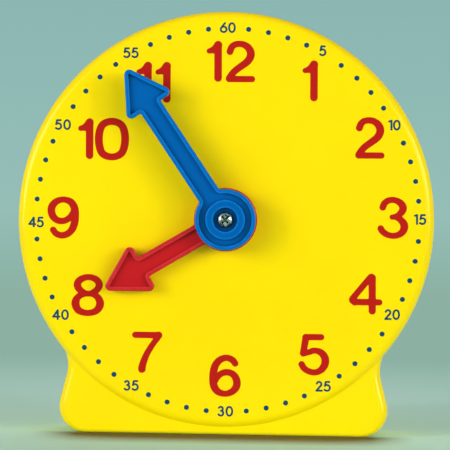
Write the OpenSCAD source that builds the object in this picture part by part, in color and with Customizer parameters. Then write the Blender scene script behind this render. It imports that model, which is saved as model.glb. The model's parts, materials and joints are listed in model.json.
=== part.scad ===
// Geared teaching clock: a moulded case with a round dial on a flared base, two arrow hands, and
// a train of gears behind the dial that turns the hour hand once for twelve turns of the minute
// hand. The clock stands on z = 0 and its dial faces -Y. All sizes are in millimetres.

/* [Dial and rim] */
// Radius of the round dial, which is also the case's outline
dial_r = 51; // [49:0.5:56]
// Radius of the soft edge round the dial
rim_fillet = 2.3; // [1.5:0.1:3]
// How far the dial stands in front of the base
dial_step = 1.2; // [0.8:0.1:2]
// How far the round dial's lowest point stands above the table
sole_drop = 1.9; // [1:0.1:4]

/* [Base] */
// Width of the base at its widest
base_w = 80.8; // [79:0.2:84]
// How far the waist is drawn in from the base at each side
waist_in = 2; // [1:0.1:3]
// Radius of the hollow curve at the waist
waist_r = 9.4; // [8:0.2:11]
// Radius of the base's lower corners
foot_r = 6.5; // [5:0.25:7.5]
// Radius of the base's soft front edge at its sides
base_fillet = 2.2; // [1.5:0.1:3]
// Radius of the base's soft front edge along the table
sole_fillet = 1; // [0.5:0.1:1.5]

/* [Case] */
// Depth of the body behind the base's front face
body_depth = 22; // [21:0.5:30]
// Wall of the moulded case
wall = 2.4; // [2.2:0.1:2.8]
// Slope of the outer walls in degrees, narrowing to the back
draft = 1; // [0:0.25:1.5]
// Radius of the soft edge round the back
back_fillet = 0.8; // [0.4:0.1:1]
// Thickness of the ribs inside the case
rib_t = 1.2; // [0.8:0.1:1.6]
// Depth of the ribs behind the dial
rib_h = 4; // [3:0.5:5]

/* [Rear cover] */
// Thickness of the rear cover
cover_t = 2.2; // [2:0.1:2.6]
// Width of the ledge that the rear cover rests on
ledge_w = 1; // [0.8:0.1:1.2]
// Gap all round the rear cover
cover_gap = 0.15; // [0.1:0.05:0.25]
// Radius of the shallow panel sunk in the cover's back
panel_r = 36; // [32:0.5:38]
// Depth of the shallow panel
panel_d = 0.5; // [0.3:0.1:0.7]
// Depth of the wells that the cover screws sit in
well_d = 3; // [2.4:0.2:4]

/* [Hands] */
// Minute hand's direction in the photograph, in degrees clockwise from 12
minute_angle = 325.6; // [0:0.1:360]
// Hour hand's direction in the photograph, in degrees clockwise from 12
hour_angle = 239.2; // [0:0.1:360]
// Length of the minute hand from the axis to its tip
minute_l = 43.4; // [40:0.2:45]
// Length of the hour hand from the axis to its tip
hour_l = 33.6; // [30:0.2:36]
// Radius of the minute hand's hub
minute_hub_r = 7.45; // [7.2:0.05:7.6]
// Radius of the hour hand's hub
hour_hub_r = 7.75; // [7.5:0.05:8.5]
// Width of the minute hand's shaft
minute_w = 5.75; // [5:0.25:6.5]
// Width of the hour hand's shaft
hour_w = 5.4; // [5:0.2:6.4]
// Length of an arrow head from its barbs to its tip
head_l = 10.6; // [10:0.2:12]
// Half of the angle at an arrow's tip, in degrees
head_a = 30.3; // [28:0.1:33]
// Radius of an arrow's rounded tip
tip_r = 1.25; // [1.2:0.05:1.6]
// Radius of an arrow's rounded barbs
barb_r = 1.2; // [1.15:0.05:1.5]
// Thickness of a hand
hand_t = 2.6; // [2.4:0.1:3]
// Width of the raised lip along a hand's edge
lip_w = 1; // [0.8:0.05:1.1]
// Depth of the sunk face inside the lip
lip_h = 0.9; // [0.6:0.1:1]
// Radius of a hand's softened edges
hand_round = 0.3; // [0.2:0.05:0.4]
// Radius of the boss in the middle of the minute hand's hub
boss_r = 4.8; // [4.5:0.05:5]
// Radius of the well round the hand screw's head
well_r = 2.95; // [2.8:0.05:3.1]
// Depth of the well round the hand screw's head
hand_well_d = 1.3; // [1:0.1:1.4]

/* [Gear train] */
// Gear module, which is pitch diameter over number of teeth
gear_m = 0.7; // [0.68:0.01:0.72]
// Teeth of the pinion on the minute arbor
arbor_teeth = 15; // [15]
// Teeth of the intermediate wheel that it turns
mid_teeth = 45; // [45]
// Teeth of the pinion moulded on the intermediate wheel
mid_pinion_teeth = 12; // [12]
// Teeth of the hour wheel that this pinion turns
hour_teeth = 48; // [48]
// Pressure angle of the teeth, in degrees
pressure_a = 25; // [20:1:25]
// Play between the flanks of a pair of gears, along the pitch circle
backlash = 0.24; // [0.16:0.02:0.3]
// Thickness of a wheel at its rim
wheel_t = 3; // [2.8:0.1:3.2]
// Thickness of a wheel's thin web
web_t = 1.4; // [1:0.1:2]
// Gap between the faces of the two large wheels
wheel_gap = 1; // [0.8:0.1:1.4]

/* [Arbors and bearings] */
// Radius of the hour hand's pipe
pipe_r = 4.5; // [4.3:0.1:4.7]
// Radius of the minute arbor inside the pipe
arbor_r = 3; // [2.8:0.1:3.1]
// Radius of the minute arbor's rear journal
journal_r = 2.5; // [2.2:0.1:2.7]
// Radius of the steel pin that carries the intermediate wheel
pin_r = 1.25; // [1:0.05:1.4]
// Length of the bearing that the dial gives to the pipe
bearing_l = 4.2; // [3.8:0.1:4.6]
// Radius of the raised collar that the hour hand turns on
collar_r = 6.2; // [6:0.1:6.8]
// Height of the raised collar
collar_h = 0.5; // [0.3:0.1:0.8]
// Thickness of the spring washer behind the arbor's pinion
washer_t = 0.3; // [0.2:0.05:0.35]
// Width across the square end of the arbor that carries the minute hand
tang_w = 3.6; // [3.2:0.1:3.9]

/* [Gear bridge] */
// Thickness of the bridge plate
bridge_t = 2.2; // [1.8:0.1:2.6]
// Length of the bearing bosses behind the bridge plate
bridge_boss_l = 1.8; // [1:0.2:2.4]
// Radius of the bridge's rounded ends
ear_r = 5; // [4.5:0.1:5.5]
// Radius of the posts that carry the bridge
post_r = 2.8; // [2.6:0.1:3]
// Height of the two upper posts above the axis
post_y = 8; // [6:0.5:10]

/* [Screws] */
// Radius of the hand screw's head
hand_head_r = 1.9; // [1.8:0.05:2]
// Radius of the hand screw's thread
hand_thread_r = 1.1; // [1:0.05:1.2]
// Radius of a cover screw's head
cover_head_r = 2.6; // [2.4:0.1:2.8]
// Radius of a cover screw's thread
cover_thread_r = 1.3; // [1.2:0.05:1.4]
// Radius of a bridge screw's head
bridge_head_r = 2; // [1.9:0.05:2.2]
// Radius of a bridge screw's thread
bridge_thread_r = 1; // [0.9:0.05:1.1]
// Length of the hand screw's and the bridge screws' threads
small_screw_l = 8; // [7:0.5:9]
// Length of the cover screws' threads
cover_screw_l = 10; // [8:0.5:12]

/* [Clearances] */
// Radial play of a shaft in its bearing
run_gap = 0.05; // [0.03:0.01:0.08]
// Radial play of a pin or thread in the hole that grips it
grip_gap = 0.03; // [0.02:0.01:0.05]
// Play along the axis between pieces that turn
end_gap = 0.2; // [0.2:0.05:0.3]
// Gap between the two hands
hand_gap = 0.3; // [0.3:0.05:0.5]
// Gap between a wheel's teeth and a post beside it
post_gap = 1; // [0.6:0.1:1.5]

/* [Hidden] */

$fn = 96;
// Steps in each curve of an outline, and in each softened edge
arc_steps = 8;
edge_steps = 5;
// Extra reach of a cut past the face that it opens
eps = 0.5;

// Planes along the dial's axis. z runs out of the dial, and 0 is half way through the body.
base_z = body_depth / 2;
back_z = -base_z;
dial_z = base_z + dial_step;
dial_in_z = dial_z - wall;
foot_in_z = base_z - wall;
cover_in_z = back_z + cover_t;
bearing_end_z = dial_z - bearing_l;
hour_wheel_z = bearing_end_z - end_gap - wheel_t;
mid_front_z = hour_wheel_z - wheel_gap;
mid_back_z = mid_front_z - wheel_t;
pinion_front_z = hour_wheel_z - 2 * end_gap;
pinion_back_z = mid_back_z - 2 * end_gap;
washer_h = 2 * washer_t;
bridge_z = pinion_back_z - washer_h;
bridge_back_z = bridge_z - bridge_t;
journal_end_z = bridge_back_z - bridge_boss_l;
hour_hand_z = dial_z + collar_h + end_gap;
minute_hand_z = hour_hand_z + hand_t + hand_gap;
hands_top_z = minute_hand_z + hand_t;
// The minute hand's spigot stands in a recess of the hour hand's hub.
spigot_l = hand_t / 2;
spigot_z = minute_hand_z - spigot_l;
recess_z = spigot_z - hand_gap;
hand_seat_z = hands_top_z - hand_well_d;
web_under_screw = 1;
tang_top_z = hand_seat_z - web_under_screw - run_gap;

// Gears
centre_l = gear_m * (arbor_teeth + mid_teeth) / 2;
hour_tip_r = gear_m * (hour_teeth / 2 + 1);
mid_tip_r = gear_m * (mid_teeth / 2 + 1);
root_depth = 1.25 * gear_m;
mid_hub_r = gear_m * mid_pinion_teeth / 2 - root_depth;
rim_w = 2.6;
hour_wheel_hub_r = pipe_r + 2;
pipe_flat = pipe_r - 0.9;
mid_c = [0, -centre_l];

// The axis stands high enough for the round dial, and for the gear train, to clear the table.
bridge_gap = 1;
train_drop = centre_l + mid_tip_r + post_gap + post_r + ear_r;
axis_h = max(dial_r + sole_drop, train_drop + bridge_gap + wall);

// Outline of the base, right half. The waist is a hollow arc that meets the rim, and a straight
// run joins it to the lower corner's round arc. The arc starts a little inside the rim.
tuck = 0.25;
waist_x = base_w / 2 - waist_in + waist_r;
waist_c = [waist_x, -sqrt(pow(dial_r - tuck + waist_r, 2) - pow(waist_x, 2))];
// The largest lower corner that still leaves the waist its arc
corner_to_waist = [base_w / 2, -axis_h] - waist_c;
corner_sum = corner_to_waist[0] - corner_to_waist[1] + waist_r;
corner_room = corner_sum - sqrt(max(0, pow(corner_sum, 2) + pow(waist_r, 2)
                                       - corner_to_waist * corner_to_waist));
corner_r = min(foot_r, corner_room);
foot_c = [base_w / 2 - corner_r, corner_r - axis_h];
waist_to_foot = foot_c - waist_c;
waist_top_a = 180 + atan2(waist_c[1], waist_c[0]);
waist_end_a = 360 + atan2(waist_to_foot[1], waist_to_foot[0])
              - acos((waist_r + corner_r) / norm(waist_to_foot));

// Places of the posts, bosses and ribs
posts = [
    [hour_tip_r + post_r + post_gap, post_y],
    [-hour_tip_r - post_r - post_gap, post_y],
    [0, -centre_l - mid_tip_r - post_r - post_gap]
];
boss_in = 9.5;
boss_a = 50;
cover_boss_r = 3.6;
cover_well_r = cover_head_r + 0.4;
cover_bosses = [
    for (s = [1, -1]) (dial_r - boss_in) * [s * cos(boss_a), sin(boss_a)],
    for (s = [1, -1]) [s * (base_w / 2 - boss_in), boss_in + wall - axis_h]
];
well_floor = 1.6;
well_z = back_z + well_d;
cover_seat_z = well_z + well_floor;
pin_boss_r = pin_r + 2;
pin_boss_z = bearing_end_z + end_gap;
pin_seat_z = dial_z - 1.4;
rib_angles = [for (i = [0:7]) 22.5 + 45 * i];
foot_rib_x = 14;

// Points of an arc of radius r about c, from angle a to angle b
function arc_pts(c, r, a, b, n = arc_steps) =
    [for (i = [0:n]) let (t = a + (b - a) * i / n) c + r * [cos(t), sin(t)]];

// A list of points and its mirror image across x = 0, as one closed outline
function with_mirror(pts) = concat(
    pts, [for (i = [len(pts) - 1:-1:0]) if (pts[i][0] > 0.001) [-pts[i][0], pts[i][1]]]
);

// The base's outline set in by d at its sides and by sole along the table
function foot_pts(d, sole) = let (
    waist = arc_pts(waist_c, waist_r + d, waist_end_a, waist_top_a),
    corner = [for (p = arc_pts([0, 0], 1, -90, waist_end_a - 180))
        foot_c + [p[0] * (corner_r - d), p[1] * (corner_r - (p[1] < 0 ? sole : d))]],
    inner = 0.8 * waist[arc_steps]
) with_mirror(concat(corner, waist, [inner]));

// A quarter round of radius r, as pairs of how far in and how far down
function round_steps(r, n = edge_steps) =
    [for (i = [0:n]) let (a = 90 * i / n) r * [1 - cos(a), 1 - sin(a)]];

function reversed(list) = [for (i = [len(list) - 1:-1:0]) list[i]];

// The same pairs with the last one pushed on along its slope, past the face that it meets
function run_out(steps) = let (n = len(steps) - 1) [
    for (i = [0:n]) i < n ? steps[i] : 2 * steps[n] - steps[n - 1]
];

// How far the drafted outer wall has come in at height z
function draft_in(z) = (base_z - base_fillet - z) * tan(draft);

// Half of a gear tooth's angle at radius r. The flank is an involute.
function involute(a) = tan(a) * 180 / PI - a;
function tooth_half_a(teeth, r) = let (
    pitch_r = gear_m * teeth / 2,
    base_r = pitch_r * cos(pressure_a)
) 90 / teeth - backlash / 4 / pitch_r * 180 / PI
  + involute(pressure_a) - involute(r > base_r ? acos(base_r / r) : 0);

// Outline of a gear with one tooth centred on angle a
function gear_pts(teeth, a) = let (
    pitch_r = gear_m * teeth / 2,
    tip_r = pitch_r + gear_m,
    root_r = pitch_r - root_depth,
    flank_r = max(root_r, pitch_r * cos(pressure_a)),
    n = 3,
    radii = concat(root_r < flank_r - 0.05 ? [root_r] : [],
                   [for (i = [0:n]) flank_r + (tip_r - flank_r) * i / n])
) [for (t = [0:teeth - 1]) let (mid = a + 360 * t / teeth) each concat(
    [for (r = radii) let (h = tooth_half_a(teeth, r)) r * [cos(mid - h), sin(mid - h)]],
    [for (r = reversed(radii)) let (h = tooth_half_a(teeth, r)) r * [cos(mid + h), sin(mid + h)]]
)];

// Outline of a hand that points along +y, set in by d
function hand_pts(hub_r, w, l, d) = let (
    f = 0.8,
    notch = 0.3,
    neck_y = l - head_l,
    tip_y = l - tip_r,
    hub_f = [w / 2 + f, sqrt(pow(hub_r + f, 2) - pow(w / 2 + f, 2))],
    hub_a = atan2(hub_f[1], hub_f[0]),
    barb_y = neck_y + barb_r,
    barb_x = ((tip_y - barb_y) * sin(head_a) + tip_r - barb_r) / cos(head_a)
) with_mirror(concat(
    arc_pts([0, 0], hub_r - d, -90, hub_a, 2 * arc_steps),
    arc_pts(hub_f, f + d, 180 + hub_a, 180, 4),
    arc_pts([w / 2 + notch, neck_y - notch], notch + d, 180, 90, 4),
    arc_pts([barb_x, barb_y], barb_r - d, -90, head_a, 6),
    arc_pts([0, tip_y], tip_r - d, head_a, 90, 4)
));

// A skin through outlines at rising heights, each given as [height, points], kept between the
// heights z0 and z1. The first and the last outline lie outside them.
module loft(rings, z0, z1) {
    n = len(rings[0][1]);
    top = n * (len(rings) - 1);
    reach = 3 * dial_r;
    intersection() {
        polyhedron(
            points = [for (ring = rings) for (p = ring[1]) [p[0], p[1], ring[0]]],
            faces = concat(
                [[for (i = [0:n - 1]) i]],
                [[for (i = [n - 1:-1:0]) top + i]],
                [for (k = [0:len(rings) - 2]) for (i = [0:n - 1])
                    let (a = k * n + i, b = k * n + (i + 1) % n)
                        each [[a, a + n, b + n], [a, b + n, b]]]
            )
        );
        translate([-reach / 2, -reach / 2, z0]) cube([reach, reach, z1 - z0]);
    }
}

// Turns the dial's axis to face -Y at its height above the table
module on_dial() {
    translate([0, 0, axis_h]) rotate([90, 0, 0]) children();
}

// A disc or ring of radius r between two heights
module disc(r, z0, z1) {
    translate([0, 0, z0]) cylinder(r = r, h = z1 - z0);
}

// The round and the base together, set in by d, between two heights
module body_slab(d, z0, z1) {
    disc(dial_r - d, z0, z1);
    translate([0, 0, z0]) linear_extrude(z1 - z0) polygon(foot_pts(d, d));
}

// A screw whose head rests at height 0 with its thread pointing down
module pan_screw(head_r, thread_r, l) {
    head_h = 0.66 * head_r;
    slot_w = 0.28 * head_r;
    slot_l = 1.2 * head_r;
    difference() {
        rotate_extrude() polygon(concat(
            [[0, 0.15 - l], [0, -l], [0.5 * thread_r, -l], [thread_r, 2 * thread_r - l],
             [thread_r, 0], [head_r, 0], [head_r, 0.35 * head_h]],
            [for (i = [1:5]) let (a = 18 * i)
                [head_r * cos(a), head_h * (0.35 + 0.65 * sin(a))]]
        ));
        for (a = [45, 135]) rotate(a)
            translate([-slot_l / 2, -slot_w / 2, 0.45 * head_h]) cube([slot_l, slot_w, head_h]);
    }
}

module case_outside() {
    rotate_extrude($fn = 192) polygon(concat(
        [[0, back_z]],
        [for (s = reversed(round_steps(back_fillet)))
            [dial_r - draft_in(back_z + s[1]) - s[0], back_z + s[1]]],
        [[dial_r - draft_in(foot_in_z - 0.2), foot_in_z - 0.2]],
        [for (s = round_steps(rim_fillet, 2 * edge_steps)) [dial_r - s[0], dial_z - s[1]]],
        [[0, dial_z]]
    ));
    loft(concat(
        [for (s = reversed(run_out(round_steps(back_fillet))))
            [back_z + s[1], foot_pts(draft_in(back_z + s[1]) + s[0], s[0])]],
        [for (s = run_out(round_steps(base_fillet)))
            [base_z - s[1], foot_pts(s[0], s[0] * sole_fillet / base_fillet)]]
    ), back_z, base_z);
}

module case_ribs() {
    in_r = dial_r - wall;
    for (a = rib_angles) rotate(a)
        translate([hour_tip_r + post_gap, -rib_t / 2, dial_in_z - rib_h])
            cube([in_r + wall / 2 - hour_tip_r - post_gap, rib_t, rib_h + wall / 2]);
    for (s = [1, -1]) translate([s * foot_rib_x - rib_t / 2, wall / 2 - axis_h, 0])
        cube([rib_t, axis_h - in_r, foot_in_z + wall / 2]);
}

// Gussets that tie each cover boss to the nearest wall
module boss_gussets() {
    for (i = [0, 1]) translate([cover_bosses[i][0], cover_bosses[i][1], 0])
        rotate(i == 0 ? boss_a : 180 - boss_a)
            translate([0, -rib_t / 2, 0]) cube([boss_in - wall / 2, rib_t, dial_in_z + wall / 2]);
    for (i = [2, 3]) translate([cover_bosses[i][0] - rib_t / 2, wall / 2 - axis_h, 0])
        cube([rib_t, boss_in + wall / 2, foot_in_z + wall / 2]);
}

module front_case() {
    color("gold") on_dial() difference() {
        union() {
            difference() {
                case_outside();
                disc(dial_r - wall, back_z - eps, dial_in_z);
                translate([0, 0, back_z - eps]) linear_extrude(foot_in_z - back_z + eps)
                    polygon(foot_pts(wall, wall));
                body_slab(wall - ledge_w, back_z - eps, cover_in_z);
            }
            case_ribs();
            boss_gussets();
            for (p = cover_bosses) translate([p[0], p[1], 0])
                disc(cover_boss_r, cover_seat_z, foot_in_z + wall / 2);
            for (p = posts) translate([p[0], p[1], 0])
                disc(post_r, bridge_z, dial_in_z + wall / 2);
            translate([mid_c[0], mid_c[1], 0]) disc(pin_boss_r, pin_boss_z, dial_in_z + wall / 2);
            disc(pipe_r + 2.5, bearing_end_z, dial_in_z + wall / 2);
            disc(collar_r, dial_z - wall / 2, dial_z + collar_h);
        }
        disc(pipe_r + run_gap, bearing_end_z - eps, dial_z + collar_h + eps);
        translate([mid_c[0], mid_c[1], 0])
            disc(pin_r + grip_gap, pin_boss_z - eps, pin_seat_z);
        for (p = cover_bosses) translate([p[0], p[1], 0])
            disc(cover_thread_r + grip_gap, cover_seat_z - eps, well_z + cover_screw_l + 1);
        for (p = posts) translate([p[0], p[1], 0])
            disc(bridge_thread_r + grip_gap, bridge_z - eps, bridge_back_z + small_screw_l + 1);
    }
}

module rear_cover() {
    boss_wall = 1.8;
    color("gold") on_dial() difference() {
        union() {
            body_slab(wall - ledge_w + cover_gap, back_z, cover_in_z);
            for (p = cover_bosses) translate([p[0], p[1], 0])
                disc(cover_well_r + boss_wall, back_z + cover_t / 2, cover_seat_z);
            difference() {
                disc(panel_r + rib_t, cover_in_z - cover_t / 2, cover_in_z + rib_t);
                disc(panel_r, cover_in_z - eps, cover_in_z + rib_t + eps);
            }
        }
        disc(panel_r, back_z - eps, back_z + panel_d);
        for (p = cover_bosses) translate([p[0], p[1], 0]) {
            disc(cover_well_r, back_z - eps, well_z);
            disc(cover_thread_r + 0.3, well_z - eps, cover_seat_z + eps);
        }
    }
}

module cover_screws() {
    color("silver") on_dial() for (p = cover_bosses) translate([p[0], p[1], well_z])
        rotate([180, 0, 0]) pan_screw(cover_head_r, cover_thread_r, cover_screw_l);
}

// A T-shaped plate: rounded ends round the three posts, and hollow curves where the arms meet
module gear_bridge() {
    inner_r = 4;
    corner = [ear_r + inner_r, posts[0][1] - ear_r - inner_r];
    outline = with_mirror(concat(
        arc_pts(posts[2], ear_r, -90, 0),
        arc_pts(corner, inner_r, 180, 90),
        arc_pts(posts[0], ear_r, -90, 90, 2 * arc_steps)
    ));
    color("ivory") on_dial() difference() {
        union() {
            translate([0, 0, bridge_back_z]) linear_extrude(bridge_t) polygon(outline);
            disc(journal_r + 2, journal_end_z, bridge_back_z + bridge_t / 2);
            translate([mid_c[0], mid_c[1], 0])
                disc(pin_boss_r, journal_end_z, bridge_back_z + bridge_t / 2);
        }
        disc(journal_r + run_gap, journal_end_z - eps, bridge_z + eps);
        translate([mid_c[0], mid_c[1], 0])
            disc(pin_r + grip_gap, journal_end_z - eps, bridge_z + eps);
        for (p = posts) translate([p[0], p[1], 0])
            disc(bridge_thread_r + 0.2, bridge_back_z - eps, bridge_z + eps);
    }
}

module bridge_screws() {
    color("silver") on_dial() for (p = posts) translate([p[0], p[1], bridge_back_z])
        rotate([180, 0, 0]) pan_screw(bridge_head_r, bridge_thread_r, small_screw_l);
}

module idler_pin() {
    tip = 0.3;
    z0 = journal_end_z + tip;
    l = pin_seat_z - tip - z0;
    color("silver") on_dial() translate([mid_c[0], mid_c[1], z0]) rotate_extrude() polygon([
        [0, 0], [pin_r - tip, 0], [pin_r, tip], [pin_r, l - tip], [pin_r - tip, l], [0, l]
    ]);
}

// A toothed rim on a thin web and a hub, between heights z and z + wheel_t
module wheel(teeth, a, hub_r, z) {
    web_r = gear_m * teeth / 2 - root_depth - rim_w;
    side = (wheel_t - web_t) / 2;
    difference() {
        translate([0, 0, z]) linear_extrude(wheel_t) polygon(gear_pts(teeth, a));
        for (z0 = [z - eps, z + wheel_t - side]) difference() {
            disc(web_r, z0, z0 + side + eps);
            disc(hub_r, z0 - eps, z0 + side + 2 * eps);
        }
    }
}

// The large wheel has a gap, and the pinion a gap, on the line to the hands' axis
module intermediate_wheel() {
    collar_top = pin_boss_z - end_gap - 0.1;
    color("ivory") on_dial() translate([mid_c[0], mid_c[1], 0]) difference() {
        union() {
            wheel(mid_teeth, 90 + 180 / mid_teeth, mid_hub_r + 2, mid_back_z);
            translate([0, 0, mid_front_z - web_t / 2])
                linear_extrude(collar_top - mid_front_z + web_t / 2)
                    polygon(gear_pts(mid_pinion_teeth, 90 + 180 / mid_pinion_teeth));
            disc(mid_hub_r, bridge_z + end_gap + 0.1, mid_back_z + wheel_t / 2);
        }
        disc(pin_r + run_gap, bridge_z - eps, collar_top + eps);
    }
}

// A dished ring that presses the arbor forward and keeps the hands where they are put
module spring_washer() {
    touch = 0.01;
    r0 = journal_r + 0.2;
    r1 = journal_r + 2;
    z0 = bridge_z + touch;
    z1 = pinion_back_z - touch;
    color("silver") on_dial() rotate_extrude() polygon([
        [r0, z1 - washer_t], [r1, z0], [r1, z0 + washer_t], [r0, z1]
    ]);
}

module minute_arbor() {
    pilot_end_z = hand_seat_z - small_screw_l - 1;
    color("ivory") on_dial() difference() {
        union() {
            disc(journal_r, journal_end_z + end_gap, pinion_back_z + wheel_t / 2);
            translate([0, 0, pinion_back_z]) linear_extrude(pinion_front_z - pinion_back_z)
                polygon(gear_pts(arbor_teeth, -90));
            disc(arbor_r, pinion_front_z - wheel_t / 2, spigot_z);
            rotate(-minute_angle) translate([-tang_w / 2, -tang_w / 2, spigot_z - 1])
                cube([tang_w, tang_w, tang_top_z - spigot_z + 1]);
        }
        disc(hand_thread_r + grip_gap, pilot_end_z, tang_top_z + eps);
    }
}

// What the two flats take off the pipe's end, or leave standing in the hour wheel's bore
module pipe_flats(gap, z0, z1) {
    for (s = [1, -1]) translate([s > 0 ? pipe_flat + gap : -pipe_flat - gap - pipe_r, -pipe_r, z0])
        cube([pipe_r, 2 * pipe_r, z1 - z0]);
}

module hour_wheel() {
    z1 = hour_wheel_z + wheel_t;
    color("ivory") on_dial() difference() {
        wheel(hour_teeth, -90, hour_wheel_hub_r, hour_wheel_z);
        rotate(-hour_angle) difference() {
            disc(pipe_r + grip_gap, hour_wheel_z - eps, z1 + eps);
            pipe_flats(grip_gap, hour_wheel_z - 2 * eps, z1 + 2 * eps);
        }
    }
}

// A hand with softened edges, whose face is sunk inside a raised lip. The face stays up within
// keep_r of the axis.
module hand(hub_r, w, l, z, keep_r) {
    top = z + hand_t;
    steps = run_out(round_steps(hand_round, 2));
    difference() {
        loft(concat(
            [for (s = reversed(steps)) [z + s[1], hand_pts(hub_r, w, l, s[0])]],
            [for (s = steps) [top - s[1], hand_pts(hub_r, w, l, s[0])]]
        ), z, top);
        difference() {
            translate([0, 0, top - lip_h]) linear_extrude(lip_h + eps)
                polygon(hand_pts(hub_r, w, l, lip_w));
            disc(keep_r, top - lip_h - eps, top + 2 * eps);
        }
    }
}

module hour_hand() {
    color("crimson") on_dial() rotate(-hour_angle) difference() {
        union() {
            hand(hour_hub_r, hour_w, hour_l, hour_hand_z, hour_hub_r - 0.3);
            disc(pipe_r, hour_wheel_z, hour_hand_z + hand_t / 4);
        }
        pipe_flats(0, hour_wheel_z - eps, bearing_end_z - end_gap);
        disc(arbor_r + run_gap, hour_wheel_z - 2 * eps, recess_z + eps);
        disc(boss_r + hand_gap, recess_z, hour_hand_z + hand_t + eps);
    }
}

module minute_hand() {
    fit = tang_w + 2 * run_gap;
    color("royalblue") on_dial() rotate(-minute_angle) difference() {
        union() {
            hand(minute_hub_r, minute_w, minute_l, minute_hand_z, boss_r);
            disc(boss_r, spigot_z, minute_hand_z + hand_t / 4);
        }
        disc(well_r, hand_seat_z, hands_top_z + eps);
        disc(hand_thread_r + 0.1, spigot_z, hands_top_z);
        translate([-fit / 2, -fit / 2, spigot_z - eps])
            cube([fit, fit, tang_top_z + run_gap - spigot_z + eps]);
    }
}

module hand_screw() {
    color("silver") on_dial() translate([0, 0, hand_seat_z])
        pan_screw(hand_head_r, hand_thread_r, small_screw_l);
}

front_case();
rear_cover();
cover_screws();
gear_bridge();
bridge_screws();
idler_pin();
intermediate_wheel();
spring_washer();
minute_arbor();
hour_wheel();
hour_hand();
minute_hand();
hand_screw();
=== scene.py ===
import json
import math

import bmesh
import bpy
import numpy as np
from mathutils import Matrix, Vector
from mathutils.geometry import delaunay_2d_cdt


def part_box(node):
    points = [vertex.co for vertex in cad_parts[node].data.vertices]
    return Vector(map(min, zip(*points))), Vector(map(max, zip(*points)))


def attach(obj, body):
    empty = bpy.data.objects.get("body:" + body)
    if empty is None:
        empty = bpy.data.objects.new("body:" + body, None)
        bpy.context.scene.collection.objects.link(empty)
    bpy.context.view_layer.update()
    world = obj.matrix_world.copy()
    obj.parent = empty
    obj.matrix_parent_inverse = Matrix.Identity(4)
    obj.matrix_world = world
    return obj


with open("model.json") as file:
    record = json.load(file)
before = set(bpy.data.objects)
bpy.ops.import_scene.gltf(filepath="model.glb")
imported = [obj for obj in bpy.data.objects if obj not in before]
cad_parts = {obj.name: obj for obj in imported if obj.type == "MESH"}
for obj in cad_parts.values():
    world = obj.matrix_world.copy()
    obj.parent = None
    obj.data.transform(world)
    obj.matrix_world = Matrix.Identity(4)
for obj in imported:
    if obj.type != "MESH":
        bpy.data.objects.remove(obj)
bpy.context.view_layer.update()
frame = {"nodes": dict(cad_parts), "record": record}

MM = 0.001
joints = {joint["name"]: joint for joint in frame["record"]["behaviour"]["joints"]}
axis = Vector(joints["minute_turn"]["pos_m"])
COLLAR = 0.5 * MM  # the collar round the hands' bore stands this far out of the dial
DIAL_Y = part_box("front_case")[0].y + COLLAR  # the dial's face

# ---------------------------------------------------------------- camera
# The photograph's camera: close, a little to the right of the axis, tilted by less than a degree.
CAM_AZ, CAM_EL, CAM_ROLL = (math.radians(a) for a in (1.5, 0.5, 0.93))
CAM_DIST, CAM_FOCAL_PX, FRAME_PX = 0.6, 2454, 450
CAM_AIM = Vector((-0.17 * MM, DIAL_Y, axis.z - 1.31 * MM))


def make_camera():
    data = bpy.data.cameras.new("camera")
    data.sensor_width = 36
    data.lens = CAM_FOCAL_PX / FRAME_PX * data.sensor_width
    forward = Vector((-math.sin(CAM_AZ) * math.cos(CAM_EL), math.cos(CAM_AZ) * math.cos(CAM_EL),
                      -math.sin(CAM_EL)))
    right = forward.cross(Vector((0, 0, 1))).normalized()
    up = right.cross(forward)
    c, s = math.cos(CAM_ROLL), math.sin(CAM_ROLL)
    right, up = right * c + up * s, up * c - right * s
    camera = bpy.data.objects.new("camera", data)
    camera.matrix_world = Matrix.Translation(CAM_AIM - forward * CAM_DIST) @ Matrix(
        (right, up, -forward)).transposed().to_4x4()
    bpy.context.scene.collection.objects.link(camera)
    bpy.context.scene.camera = camera


make_camera()

# ---------------------------------------------------------------- materials


def srgb(r, g, b):
    return tuple((c / 255 / 12.92) if c <= 10 else ((c / 255 + 0.055) / 1.055) ** 2.4 for c in (r, g, b))


def material(name):
    """A new material with its node tree and its shader."""
    mat = bpy.data.materials.new(name)
    mat.use_nodes = True
    return mat, mat.node_tree, mat.node_tree.nodes["Principled BSDF"]


def node(tree, kind, **values):
    """A new node with these inputs or, where it has no such input, these properties."""
    made = tree.nodes.new(kind)
    for name, value in values.items():
        if name in made.inputs:
            made.inputs[name].default_value = value
        else:
            setattr(made, name, value)
    return made


def noise(tree, scale, detail=2.0, roughness=0.5, stretch=None):
    """A noise in the piece's own coordinates, with scale in waves a metre."""
    coords = node(tree, "ShaderNodeTexCoord")
    out = coords.outputs["Object"]
    if stretch:
        mapping = node(tree, "ShaderNodeMapping")
        mapping.inputs["Scale"].default_value = stretch
        tree.links.new(out, mapping.inputs["Vector"])
        out = mapping.outputs["Vector"]
    tex = node(tree, "ShaderNodeTexNoise", Scale=scale, Detail=detail, Roughness=roughness)
    tree.links.new(out, tex.inputs["Vector"])
    return tex.outputs["Fac"]


def remap(tree, value, lo, hi, to_lo, to_hi):
    """The value moved from one range to another, and held at the second range's ends."""
    m = node(tree, "ShaderNodeMapRange")
    for name, v in zip(("From Min", "From Max", "To Min", "To Max"), (lo, hi, to_lo, to_hi)):
        m.inputs[name].default_value = v
    tree.links.new(value, m.inputs["Value"])
    return m.outputs["Result"]


def times(tree, a, b):
    m = node(tree, "ShaderNodeMath", operation="MULTIPLY")
    tree.links.new(a, m.inputs[0])
    tree.links.new(b, m.inputs[1])
    return m.outputs["Value"]


def plus(tree, a, b):
    m = node(tree, "ShaderNodeMath", operation="ADD")
    tree.links.new(a, m.inputs[0])
    tree.links.new(b, m.inputs[1])
    return m.outputs["Value"]


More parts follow.
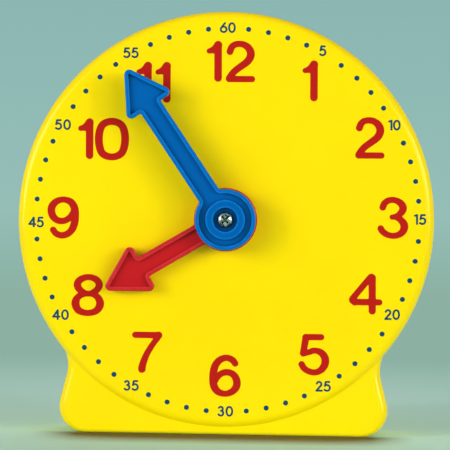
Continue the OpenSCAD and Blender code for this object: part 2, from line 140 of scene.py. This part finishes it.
def blend_colour(tree, fac, a, b):
    """Mixes two colours, each an RGB triple or a socket."""
    m = node(tree, "ShaderNodeMix", data_type="RGBA")
    tree.links.new(fac, m.inputs["Factor"])
    for socket, colour in ((m.inputs[6], a), (m.inputs[7], b)):
        if isinstance(colour, tuple):
            socket.default_value = (*colour, 1)
        else:
            tree.links.new(colour, socket)
    return m.outputs[2]


def edges(tree, reach):
    """1 along outer edges and thin lips and 0 on open faces, from how near the solid's far side is."""
    under = node(tree, "ShaderNodeAmbientOcclusion", samples=8, inside=True, only_local=True,
                 Distance=reach)
    return remap(tree, under.outputs["AO"], 0.92, 0.6, 0, 1)


def recesses(tree, reach, shut, clear, samples=8):
    """1 where what is nearer than reach leaves open at most the share shut, 0 above the share clear."""
    open_to = node(tree, "ShaderNodeAmbientOcclusion", samples=samples, Distance=reach)
    return remap(tree, open_to.outputs["AO"], shut, clear, 1, 0)


def bump(tree, layers, soft=0):
    """Chains bumps, (height socket, depth in metres), over edges eased by the radius soft."""
    normal = node(tree, "ShaderNodeBevel", samples=8, Radius=soft).outputs["Normal"] if soft else None
    for height, depth in layers:
        b = node(tree, "ShaderNodeBump", Strength=1.0, Distance=depth)
        tree.links.new(height, b.inputs["Height"])
        if normal:
            tree.links.new(normal, b.inputs["Normal"])
        normal = b.outputs["Normal"]
    return normal


def shade(colour, factor):
    """The colour made darker or, above 1, lighter."""
    return tuple(min(1, c * factor) for c in colour)


def plastic(name, colour, rubbed, rough, tint=(1, 1, 1), worn=0.5, soft=0.15 * MM, recess_shade=None):
    """Moulded plastic: colour drift, orange peel, fine grain, scuffs, and edges rubbed paler.

    tint is the colour of its reflections, worn how much its edges are rubbed, and soft the radius that
    eases its edges. The last argument gives the shares of open surroundings at which painted shade
    fills its recesses, and at which it is gone.
    """
    mat, tree, shader = material(name)
    drift = remap(tree, noise(tree, 45, 3), 0.3, 0.7, 0, 1)
    base = blend_colour(tree, drift, shade(colour, 0.965), shade(colour, 1.02))
    patchy = remap(tree, noise(tree, 700, 4, 0.6), 0.3, 0.6, worn * 0.4, worn)
    rub = times(tree, edges(tree, 0.7 * MM), patchy)
    base = blend_colour(tree, rub, base, rubbed)
    if recess_shade:
        # painted shade: recesses turn towards a deep shade of the colour where little around them is open
        base = blend_colour(tree, recesses(tree, 3 * MM, *recess_shade), base, shade(colour, 0.25))
    tree.links.new(base, shader.inputs["Base Color"])
    scuff = remap(tree, noise(tree, 260, 6, 0.7, (1, 1, 0.35)), 0.55, 0.75, 0, 0.10)
    gloss = remap(tree, noise(tree, 90, 3), 0.3, 0.7, rough * 0.88, rough * 1.12)
    rough_all = plus(tree, plus(tree, gloss, scuff), times(tree, rub, scuff))
    tree.links.new(rough_all, shader.inputs["Roughness"])
    peel, grain = (noise(tree, 520, 2), 8e-6), (noise(tree, 5200, 3), 1.5e-6)
    tree.links.new(bump(tree, (peel, grain), soft), shader.inputs["Normal"])
    shader.inputs["Specular IOR Level"].default_value = 0.3
    shader.inputs["Specular Tint"].default_value = (*tint, 1)
    return mat


def metal(name, colour, rough, streak, speckles_and_reflections=(0.58, 0.7, 0.5, 0.6)):
    """Plated steel with a fine turned grain, darker patches, and grime with painted shade in its recesses.

    streak is the grain's depth. The last argument says where in the noise the darker patches start and
    are full, how much of them shows, and how dark they are: faint, they are speckles in the plating;
    strong, they are painted dark reflections.
    """
    mat, tree, shader = material(name)
    shader.inputs["Metallic"].default_value = 1
    lo, hi, most, dark = speckles_and_reflections
    # darker patches: speckles in the plating, and on the bright screw painted dark reflections
    speckle_and_reflection_mask = remap(tree, noise(tree, 1500, 4, 0.6), lo, hi, 0, most)
    base = blend_colour(tree, speckle_and_reflection_mask, colour, shade(colour, dark))
    # grime and painted shade: the recesses darken towards near black
    base = blend_colour(tree, recesses(tree, 0.8 * MM, 0.35, 0.85), base, srgb(34, 34, 32))
    tree.links.new(base, shader.inputs["Base Color"])
    grain = noise(tree, 2600, 3, 0.5, (1, 0.2, 1))
    tree.links.new(remap(tree, grain, 0.3, 0.7, rough * 0.8, rough * 1.3), shader.inputs["Roughness"])
    tree.links.new(bump(tree, ((grain, streak),)), shader.inputs["Normal"])
    return mat


def ink(name, colour, tint):
    """Pad-printed ink: even, a little duller than the plastic under it, thin where the pad left it."""
    mat, tree, shader = material(name)
    thin = remap(tree, noise(tree, 1800, 4, 0.6), 0.3, 0.7, 0, 1)
    tree.links.new(blend_colour(tree, thin, shade(colour, 0.93), shade(colour, 1.05)),
                   shader.inputs["Base Color"])
    tree.links.new(remap(tree, noise(tree, 900, 3), 0.3, 0.7, 0.34, 0.44), shader.inputs["Roughness"])
    tree.links.new(bump(tree, ((noise(tree, 2400, 3), 2e-6),)), shader.inputs["Normal"])
    shader.inputs["Specular IOR Level"].default_value = 0.3
    shader.inputs["Specular Tint"].default_value = (*tint, 1)
    return mat


YELLOW, PALE_YELLOW = srgb(254, 220, 0), srgb(255, 236, 84)
finishes = {
    "case_yellow": plastic("case_yellow", YELLOW, PALE_YELLOW, 0.15, (1, 0.92, 0.5), soft=0.6 * MM),
    # cover_yellow and hand_blue carry painted shade in their recesses
    "cover_yellow": plastic("cover_yellow", YELLOW, PALE_YELLOW, 0.3, (1, 0.9, 0.35), recess_shade=(0.15, 0.55)),
    "hand_red": plastic("hand_red", srgb(192, 26, 32), srgb(226, 66, 70), 0.22, (1, 0.45, 0.45), 0.7),
    "hand_blue": plastic("hand_blue", srgb(0, 91, 168), srgb(10, 128, 226), 0.22, (0.25, 0.8, 1), 0.75,
                         recess_shade=(0.3, 0.66)),
    "gear_plastic": plastic("gear_plastic", srgb(238, 233, 218), srgb(246, 243, 234), 0.45),
    "screw_steel": metal("screw_steel", srgb(200, 200, 204), 0.3, 2e-6),
    # the bright screw's strong dark patches are painted dark reflections
    "screw_bright": metal("screw_bright", srgb(228, 226, 216), 0.2, 12e-6, (0.48, 0.56, 0.95, 0.12)),
}
RED_INK = ink("ink_red", srgb(184, 16, 14), (1, 0.6, 0.4))
BLUE_INK = ink("ink_blue", srgb(0, 63, 94), (0.6, 1, 1))

for part in frame["record"]["subparts"]:
    body = frame["nodes"][part["node"]]
    if not body.material_slots:
        body.data.materials.append(None)
    for held in body.material_slots:
        held.material = finishes[part["material_slot"]]

# ---------------------------------------------------------------- prints on the dial
# Strokes are (x, y, r) in millimetres from the glyph's centre: the middle of the stroke and half its width.

PRINT_SHIFT = (0.40, -0.12)  # the print sits a little off the dial's centre
PRINT_TURN = math.radians(0.58)
INK_UNDER, INK_OVER = 0.02, 0.03  # how deep the ink's solid starts in the dial, and how far it stands out


def about(cx, cy, *strokes):
    return [[(x - cx, y - cy, r) for x, y, r in s] for s in strokes]


HOUR_GLYPHS = {
    "1": about(20.95, 34.1,
               [(20.93, 38.15, .92), (20.95, 30.07, .92)],
               [(20.93, 38.15, .92), (19.9, 37.15, .75), (18.75, 36.65, .57)],
               [(18.75, 36.65, .57), (20.9, 36.65, .6)]),
    "2": about(34.65, 20.3,
               [(32.07, 22.70, .84), (32.5, 23.75, .82), (33.3, 24.4, .78), (34.4, 24.58, .78),
                (35.6, 24.35, .82), (36.6, 23.6, .9), (37.15, 22.5, .96), (37.05, 21.4, .96),
                (36.4, 20.35, .92), (35.3, 19.45, .88), (33.9, 18.45, .85), (32.9, 17.55, .84),
                (32.05, 16.35, .84)],
               [(31.9, 16.0, .77), (37.5, 16.0, .76)]),
    "3": about(40.4, .82,
               [(37.9, 3.35, .8), (38.35, 4.35, .8), (39.2, 5.0, .77), (40.25, 5.2, .75), (41.4, 4.95, .78),
                (42.4, 4.25, .88), (42.88, 3.2, .92), (42.5, 2.2, .85), (41.6, 1.4, .72), (40.8, 1.1, .62)],
               [(40.2, 1.0, .62), (41.8, 1.05, .62)],
               [(41.2, .95, .65), (42.2, .4, .8), (43.0, -.5, .93), (43.2, -1.5, .96), (42.75, -2.6, .88),
                (41.7, -3.35, .78), (40.3, -3.57, .74), (38.9, -3.2, .76), (37.9, -2.5, .8),
                (37.45, -1.8, .8)]),
    "4": about(33.9, -17.9,
               [(35.45, -13.85, .89), (35.5, -21.95, .87)],
               [(35.2, -13.75, .8), (34.7, -14.1, .76), (30.65, -19.0, .76)],
               [(30.75, -19.35, .9), (31.3, -19.8, .8)],
               [(31.2, -19.77, .8), (37.2, -19.85, .76)]),
    "5": about(21.3, -32.78,
               [(19.3, -28.45, .76), (23.1, -28.45, .76)],
               [(19.35, -28.6, .85), (18.75, -32.35, .8)],
               [(18.75, -32.4, .78), (20.1, -32.15, .72), (21.0, -31.8, .73), (21.8, -31.76, .75),
                (22.9, -32.1, .82), (23.8, -33.0, .92), (24.15, -34.2, .95), (23.85, -35.5, .92),
                (22.9, -36.6, .82), (21.5, -37.08, .75), (20.1, -36.8, .76), (19.0, -36.1, .78),
                (18.35, -35.1, .78)]),
    "6": about(-.35, -38.05,
               [(2.1, -35.0, .8), (1.45, -34.2, .8), (.5, -33.75, .78), (-.5, -33.72, .8),
                (-1.7, -34.25, .85), (-2.6, -35.3, .9), (-3.1, -36.7, .93), (-3.27, -38.2, .94),
                (-3.2, -39.8, .95), (-2.85, -41.0, .93), (-2.0, -42.0, .85), (-.35, -42.47, .74),
                (1.2, -42.05, .82), (2.25, -41.05, .92), (2.58, -39.8, .93), (2.2, -38.4, .9),
                (1.2, -37.45, .82), (0, -37.2, .8), (-1.2, -37.5, .78), (-2.2, -38.3, .8),
                (-3.1, -39.6, .9)]),
    "7": about(-19.5, -32.48,
               [(-22.4, -28.2, .76), (-16.6, -28.25, .8)],
               [(-16.65, -28.25, .8), (-17.0, -29.0, .75), (-17.75, -30.0, .71), (-18.75, -31.5, .74),
                (-19.6, -33.0, .78), (-20.25, -34.6, .84), (-20.65, -36.0, .91), (-20.72, -36.58, .93)]),
    "8": about(-34.08, -18.55,
               [(-36.65, -16.0, .93), (-35.9, -14.75, .85), (-34.0, -14.15, .75), (-32.1, -14.7, .82),
                (-31.3, -16.0, .88), (-32.0, -17.35, .8), (-34.0, -18.2, .65), (-35.95, -17.35, .82),
                (-36.65, -16.0, .93)],
               [(-37.1, -20.55, 1.0), (-36.3, -22.3, .88), (-34.1, -22.95, .75), (-31.9, -22.3, .87),
                (-31.05, -20.6, .98), (-31.9, -18.85, .8), (-34.0, -18.2, .65), (-36.3, -18.9, .8),
                (-37.1, -20.55, 1.0)]),
    "0": about(-28.4, 19.68,
               [(-31.6, 19.7, .97), (-30.85, 22.95, .92), (-28.4, 24.0, .88), (-25.95, 22.95, .92),
                (-25.15, 19.7, .96), (-25.95, 16.35, .92), (-28.4, 15.3, .84), (-30.85, 16.35, .92),
                (-31.6, 19.7, .97)]),
}
# The photograph's 9 is its 6 turned half round.
HOUR_GLYPHS["9"] = [[(-x, -y, r) for x, y, r in s] for s in HOUR_GLYPHS["6"]]

# Each figure's place, in millimetres from the print's centre.
HOURS = [("1", -2.5, 38.77), ("2", 2.95, 38.8), ("1", 20.95, 34.1), ("2", 34.65, 20.3), ("3", 40.4, .82),
         ("4", 33.9, -17.9), ("5", 21.3, -32.78), ("6", -.35, -38.05), ("7", -19.5, -32.48),
         ("8", -34.08, -18.55), ("9", -40.22, .4), ("1", -33.85, 19.7), ("0", -28.4, 19.68),
         ("1", -19.63, 33.6), ("1", -15.0, 33.58)]

THIN = 0.24  # half the stroke of the small figures, which are 2.5 mm tall


def arc(cx, cy, rx, ry, start, stop, n=9):
    """A small figure's curve, in degrees counter-clockwise from +x."""
    turn = [math.radians(start + (stop - start) * i / (n - 1)) for i in range(n)]
    return [(cx + rx * math.cos(t), cy + ry * math.sin(t), THIN) for t in turn]


def line(*points):
    return [(x, y, THIN) for x, y in points]


MINUTE_GLYPHS = {
    "0": [arc(0, 0, .70, 1.08, 0, 360, 17)],
    "1": [line((0, 1.08), (0, -1.08)), line((0, 1.08), (-.55, .9))],
    "2": [arc(0, .52, .56, .56, 165, -35) + line((-.62, -1.06)), line((-.62, -1.08), (.68, -1.08))],
    "3": [arc(-.05, .58, .5, .5, 150, -80), arc(-.05, -.47, .62, .61, 85, -150)],
    "4": [line((.35, -1.08), (.35, 1.08)), line((.35, 1.08), (-.75, -.5)), line((-.75, -.5), (.75, -.5))],
    "5": [line((.5, 1.08), (-.35, 1.08)), line((-.35, 1.08), (-.55, .1)),
          arc(-.08, -.38, .72, .70, 128, -140, 13)],
    "6": [arc(0, -.42, .7, .67, 0, 360, 17), line((.3, 1.1), (-.58, -.05))],
}
MINUTES = [("6", -1.2, 47.05), ("0", .82, 47.05), ("5", 23.05, 41.5), ("1", 39.9, 23.43),
           ("0", 41.2, 23.43), ("1", 46.28, .45), ("5", 47.65, .45), ("2", 39.35, -22.8),
           ("0", 41.35, -22.8), ("2", 22.65, -40.45), ("5", 24.65, -40.45), ("3", -1.3, -46.75),
           ("0", .75, -46.75), ("3", -24.33, -40.62), ("5", -22.33, -40.62), ("4", -41.8, -23.4),
           ("0", -39.65, -23.4), ("4", -47.8, -.75), ("5", -45.85, -.75), ("5", -41.5, 23.15),
           ("0", -39.4, 23.15), ("5", -24.85, 40.8), ("5", -22.85, 40.8)]

DOT_CIRCLE, DOT_R = 46.9, 0.62  # radius of the circle of minute dots, and of a dot


def smooth(points, steps=8):
    """A Catmull-Rom curve through the points; it closes on itself where the last point is the first."""
    if len(points) < 3:
        return np.array(points, float)
    p = np.array(points, float)
    closed = np.allclose(p[0], p[-1])
    ends = (p[-2], p[1]) if closed else (2 * p[0] - p[1], 2 * p[-1] - p[-2])
    p = np.vstack([ends[0], p, ends[1]])
    out = []
    for a, b, c, d in zip(p, p[1:], p[2:], p[3:]):
        for t in np.arange(steps) / steps:
            out.append(0.5 * (2 * b + (c - a) * t + (2 * a - 5 * b + 4 * c - d) * t ** 2
                              + (3 * b - a - 3 * c + d) * t ** 3))
    return np.array([*out, p[-2]])


def depth_inside(strokes, gx, gy, fillet):
    """Signed distance from grid points to the strokes, negative inside; fillet rounds their meetings."""
    field = None
    for stroke in strokes:
        path, near = smooth(stroke), np.full(gx.shape, 1e3)
        for a, b in zip(path, path[1:]):
            run = b - a
            length2 = max(run[0] ** 2 + run[1] ** 2, 1e-12)
            t = np.clip(((gx - a[0]) * run[0] + (gy - a[1]) * run[1]) / length2, 0, 1)
            gap = np.hypot(gx - a[0] - t * run[0], gy - a[1] - t * run[1])
            near = np.minimum(near, gap - a[2] - t * run[2])
        if field is None:
            field = near
        else:
            h = np.clip(fillet - np.abs(field - near), 0, None) / fillet
            field = np.minimum(field, near) - h * h * fillet / 4
    return field


def outlines(field, xs, ys):
    """Closed lines along the field's zero, each a list of (x, y), counter-clockwise round the inside."""
    inside, links = field < 0, {}
    mixed = inside[:-1, :-1].astype(int) + inside[1:, :-1] + inside[:-1, 1:] + inside[1:, 1:]
    for j, i in np.argwhere((mixed > 0) & (mixed < 4)):
        ring = [(j, i), (j, i + 1), (j + 1, i + 1), (j + 1, i)]
        sides = [tuple(sorted((ring[k], ring[(k + 1) % 4]))) for k in range(4)]
        leaves = [k for k in range(4) if inside[ring[k]] and not inside[ring[(k + 1) % 4]]]
        enters = [k for k in range(4) if not inside[ring[k]] and inside[ring[(k + 1) % 4]]]
        for k in leaves:
            links[sides[k]] = sides[enters[0] if len(enters) == 1 else (k - 1) % 4]
    loops = []
    while links:
        key = next(iter(links))
        loop = []
        while key in links:
            a, b = key
            t = field[a] / (field[a] - field[b])
            loop.append((xs[a[1]] + t * (xs[b[1]] - xs[a[1]]), ys[a[0]] + t * (ys[b[0]] - ys[a[0]])))
            key = links.pop(key)
        loops.append(loop)
    return loops


def encloses(loop, p):
    """True where the point lies within the loop, by the crossings of a level line from it."""
    a = np.array(loop)
    b = np.roll(a, -1, 0)
    spans = (a[:, 1] > p.y) != (b[:, 1] > p.y)
    a, b = a[spans], b[spans]
    return bool(np.sum(a[:, 0] + (p.y - a[:, 1]) * (b[:, 0] - a[:, 0]) / (b[:, 1] - a[:, 1]) > p.x) % 2)


def film(bm, loops):
    """Adds a thin closed solid with these outlines, in print coordinates, standing on the dial."""
    points = [p for loop in loops for p in loop]
    rims, start = [], 0
    for loop in loops:
        rims += [(start + k, start + (k + 1) % len(loop)) for k in range(len(loop))]
        start += len(loop)
    flat, _, faces, *_ = delaunay_2d_cdt([Vector(p) for p in points], rims, [], 1, 1e-6)
    faces = [f for f in faces if sum(encloses(loop, sum((flat[k] for k in f), Vector((0, 0))) / 3)
                                     for loop in loops) % 2]
    c, s = math.cos(PRINT_TURN), math.sin(PRINT_TURN)
    place = [(x * c - y * s + PRINT_SHIFT[0], x * s + y * c + PRINT_SHIFT[1]) for x, y in flat]
    front = [bm.verts.new((x * MM, DIAL_Y - INK_OVER * MM, axis.z + y * MM)) for x, y in place]
    back = [bm.verts.new((x * MM, DIAL_Y + INK_UNDER * MM, axis.z + y * MM)) for x, y in place]
    sides = {}
    for tri in faces:
        area = sum(flat[a].x * flat[b].y - flat[b].x * flat[a].y for a, b in zip(tri, (*tri[1:], tri[0])))
        tri = list(tri) if area > 0 else list(reversed(tri))
        bm.faces.new([front[k] for k in tri])
        bm.faces.new([back[k] for k in reversed(tri)])
        for a, b in zip(tri, (*tri[1:], tri[0])):
            if (b, a) in sides:
                del sides[b, a]
            else:
                sides[a, b] = True
    for a, b in sides:
        bm.faces.new((front[b], front[a], back[a], back[b]))


def glyph_loops(strokes, step, fillet):
    """A figure's outlines, traced on a grid with this step."""
    spread = [p for s in strokes for p in s]
    pad = max(p[2] for p in spread) + 0.6
    xs = np.arange(min(p[0] for p in spread) - pad, max(p[0] for p in spread) + pad, step)
    ys = np.arange(min(p[1] for p in spread) - pad, max(p[1] for p in spread) + pad, step)
    return outlines(depth_inside(strokes, *np.meshgrid(xs, ys), fillet), xs, ys)


def printed(name, mat, groups):
    """One piece of ink on the case, from groups of outlines."""
    bm = bmesh.new()
    for loops in groups:
        film(bm, loops)
    mesh = bpy.data.meshes.new(name)
    bm.to_mesh(mesh)
    bm.free()
    mesh.materials.append(mat)
    made = bpy.data.objects.new(name, mesh)
    bpy.context.scene.collection.objects.link(made)
    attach(made, "case")


def set_out(glyphs, places, step, fillet):
    """The figures' outlines at their places."""
    shapes = {k: glyph_loops(v, step, fillet) for k, v in glyphs.items()}
    return [[[(x + cx, y + cy) for x, y in loop] for loop in shapes[k]] for k, cx, cy in places]


def dots():
    """The minute dots' outlines, with none where a minute figure stands."""
    for minute in range(60):
        if minute % 5:
            turn = math.radians(90 - 6 * minute)
            cx, cy = DOT_CIRCLE * math.cos(turn), DOT_CIRCLE * math.sin(turn)
            yield [[(cx + DOT_R * math.cos(a), cy + DOT_R * math.sin(a))
                    for a in np.linspace(0, 2 * math.pi, 28, endpoint=False)]]


printed("hour_figures", RED_INK, set_out(HOUR_GLYPHS, HOURS, 0.1, 0.25))
printed("minute_figures", BLUE_INK, set_out(MINUTE_GLYPHS, MINUTES, 0.04, 0.06))
printed("minute_dots", BLUE_INK, dots())

# ---------------------------------------------------------------- floor, backdrop and light

GROUND = srgb(202, 242, 229)
PAINTED_CONTACT_SHADOW = srgb(112, 92, 36)  # painted shadow on the paper close in front of the base
# The sweep's glow far from the clock, painted light graded by height: on the floor, just above it, and high
# up.
FAR_FLOOR, FAR_LOW, FAR_HIGH = srgb(140, 177, 163), srgb(149, 190, 183), srgb(134, 178, 175)
LOW_Z, HIGH_Z = 0.05, 0.3  # where the last two colours are reached
NEAR_R, FAR_R = 0.08, 0.32  # where the far colour starts to show, and where it is all that shows
FLOOR_IN, FLOOR_R, BEND_START, BEND_R, WALL_TOP = 0.05, 0.6, 0.9, 0.6, 2.2


def paper(name, colour):
    """Matt paper with a painted shadow close in front of the base.

    Far from the clock it shows a pale glow, painted light graded by height, whatever light reaches it.
    """
    mat, tree, shader = material(name)
    fibre = remap(tree, noise(tree, 8, 3), 0.3, 0.7, 0, 1)
    parts = node(tree, "ShaderNodeSeparateXYZ")
    tree.links.new(node(tree, "ShaderNodeTexCoord").outputs["Object"], parts.inputs["Vector"])
    x, y, z = (parts.outputs[k] for k in "XYZ")
    path = node(tree, "ShaderNodeLightPath")
    seen = plus(tree, plus(tree, path.outputs["Is Camera Ray"], path.outputs["Is Glossy Ray"]),
                path.outputs["Is Transmission Ray"])
    base = blend_colour(tree, fibre, shade(colour, 0.985), shade(colour, 1.01))
    x2 = times(tree, x, x)
    # Painted shadow: close in front of the base the paper darkens towards a brown shade where the clock
    # hems it in, as camera and reflected rays see it.
    front = times(tree, remap(tree, y, -6 * MM, -11 * MM, 0, 1),
                  remap(tree, x2, (36 * MM) ** 2, (47 * MM) ** 2, 1, 0))
    painted_shadow = times(tree, times(tree, recesses(tree, 24 * MM, 0.68, 1, 16), front), seen)
    tree.links.new(blend_colour(tree, painted_shadow, base, PAINTED_CONTACT_SHADOW), shader.inputs["Base Color"])
    shader.inputs["Roughness"].default_value = 0.85
    shader.inputs["Specular IOR Level"].default_value = 0.15
    radius = node(tree, "ShaderNodeMath", operation="SQRT")
    tree.links.new(plus(tree, x2, times(tree, y, y)), radius.inputs[0])
    away = node(tree, "ShaderNodeMapRange", interpolation_type="SMOOTHSTEP")
    tree.links.new(radius.outputs["Value"], away.inputs["Value"])
    away.inputs["From Min"].default_value, away.inputs["From Max"].default_value = NEAR_R, FAR_R
    # painted light: far from the clock, camera and reflected rays see this glow in place of the lit paper
    glow = node(tree, "ShaderNodeEmission")
    far = blend_colour(tree, remap(tree, z, 0, LOW_Z, 0, 1), FAR_FLOOR, FAR_LOW)
    far = blend_colour(tree, remap(tree, z, LOW_Z, HIGH_Z, 0, 1), far, FAR_HIGH)
    tree.links.new(far, glow.inputs["Color"])
    mix = node(tree, "ShaderNodeMixShader")
    tree.links.new(times(tree, away.outputs["Result"], seen), mix.inputs[0])
    tree.links.new(shader.outputs["BSDF"], mix.inputs[1])
    tree.links.new(glow.outputs["Emission"], mix.inputs[2])
    tree.links.new(mix.outputs["Shader"], tree.nodes["Material Output"].inputs["Surface"])
    return mat


def turned(name, profile, mat, closed=False, segments=96):
    """A staged surface of revolution about the vertical, from (radius, height) points outwards."""
    bm = bmesh.new()
    rings = [[bm.verts.new((r * math.cos(a), r * math.sin(a), z))
              for a in np.linspace(0, 2 * math.pi, segments, endpoint=False)] for r, z in profile]
    for low, high in zip(rings, rings[1:]):
        for k in range(segments):
            n = (k + 1) % segments
            bm.faces.new((low[k], low[n], high[n], high[k]))
    if closed:
        bm.faces.new(list(reversed(rings[0])))
    bmesh.ops.recalc_face_normals(bm, faces=bm.faces)
    mesh = bpy.data.meshes.new(name)
    bm.to_mesh(mesh)
    bm.free()
    mesh.polygons.foreach_set("use_smooth", [True] * len(mesh.polygons))
    mesh.materials.append(mat)
    made = bpy.data.objects.new(name, mesh)
    bpy.context.scene.collection.objects.link(made)
    return made


ground = paper("ground", GROUND)
turned("floor", [(FLOOR_IN, 0), (FLOOR_R, 0)], ground, closed=True)
bend = [(BEND_START + BEND_R * math.sin(a), BEND_R - BEND_R * math.cos(a))
        for a in np.linspace(0, math.pi / 2, 17)]
wall = turned("backdrop", [(FLOOR_R, 0), *bend, (BEND_START + BEND_R, WALL_TOP)], ground)
wall.visible_diffuse = wall.visible_shadow = False


def softbox(name, position, size, energy):
    """A white lamp of this width and height in metres, turned to the lower half of the clock."""
    data = bpy.data.lights.new(name, "AREA")
    data.shape, data.size, data.size_y = "RECTANGLE", *size
    data.energy = energy
    lamp = bpy.data.objects.new(name, data)
    lamp.location = position
    lamp.rotation_mode = "QUATERNION"
    lamp.rotation_quaternion = (Vector((0, 0, 50 * MM)) - Vector(position)).to_track_quat("-Z", "Y")
    lamp.visible_camera = False
    bpy.context.scene.collection.objects.link(lamp)
    return lamp


# Two broad lamps in front, each with a narrow one that draws a line of light along the rims.
softbox("left", (-0.94, -0.80, 0.29), (1.3, 0.5), 8.4)
softbox("left_core", (-0.86, -0.66, 0.24), (0.09, 0.7), 3.0)
softbox("right", (0.94, -0.80, 0.26), (1.3, 0.5), 8.1)
softbox("right_core", (0.86, -0.62, 0.10), (0.09, 0.8), 3.0)
softbox("behind", (0.15, 1.20, 0.55), (1.2, 0.7), 8.0).visible_glossy = False

world = bpy.data.worlds.new("world")
bpy.context.scene.world = world
world.use_nodes = True
sky = world.node_tree.nodes["Background"]
sky.inputs["Color"].default_value = (1, 1, 1, 1)
sky.inputs["Strength"].default_value = 0.2

bpy.context.scene.view_settings.view_transform = "Standard"
